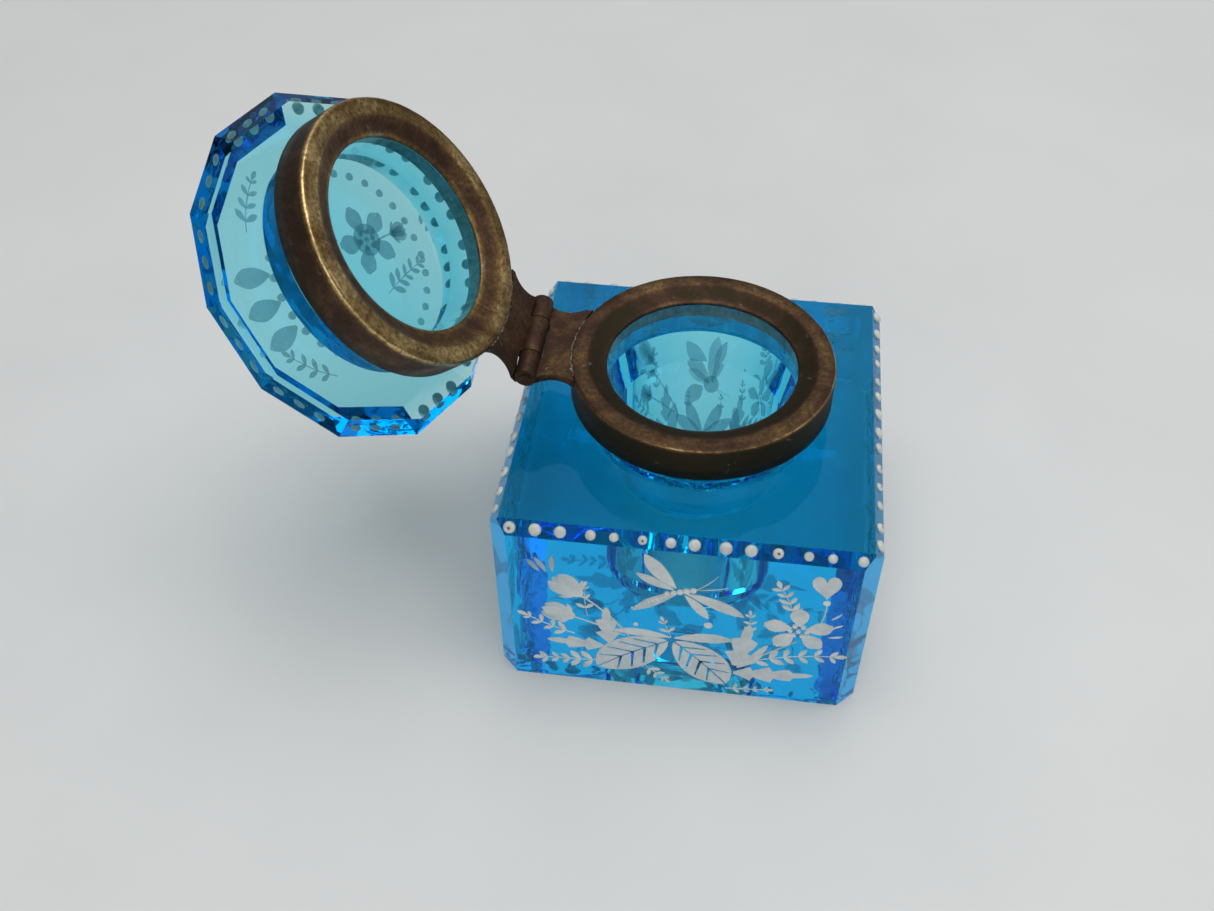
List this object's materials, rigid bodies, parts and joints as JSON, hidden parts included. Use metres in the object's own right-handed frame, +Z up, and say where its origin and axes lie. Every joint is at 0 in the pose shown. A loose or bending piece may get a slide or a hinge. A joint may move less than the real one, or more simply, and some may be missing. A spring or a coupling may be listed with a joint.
{
  "type": "inkwell",
  "caption": "Square cut-glass inkwell with white enamel flowers and a facet-cut glass lid, hinged open on patinated brass collars.",
  "frame": {"origin": "centre of the glass block's underside", "axes": "+Z up out of the well; -X towards the hinge and the open lid; -Y towards the painted front face"},
  "size_m": [0.0978, 0.0582, 0.0824],
  "materials": {
    "aqua_glass": "polished",
    "brass": "worn patina",
    "pin_brass": "worn patina",
    "plaster": "rough",
    "solder": "grainy",
    "enamel": "satin"
  },
  "bodies": {
    "base": {"glass_block": "aqua_glass", "base_collar": "brass", "base_cement": "plaster", "base_hinge_leaf": "brass", "hinge_pin": "pin_brass", "base_solder": "solder", "front_beads": "enamel", "right_beads": "enamel", "back_beads": "enamel", "left_beads": "enamel", "front_painting": "enamel", "right_painting": "enamel", "back_painting": "enamel", "left_painting": "enamel"},
    "lid": {"lid_glass": "aqua_glass", "lid_collar": "brass", "lid_cement": "plaster", "lid_hinge_leaf": "brass", "lid_solder": "solder", "lid_beads": "enamel", "lid_painting": "enamel"}
  },
  "joints": [
    {"name": "lid_hinge", "type": "hinge", "parent": "base", "child": "lid", "pos_m": [-0.026, 0.0006, 0.0458], "axis": [0, 0.9976, 0.0698], "range_deg": [0, 127]}
  ]
}
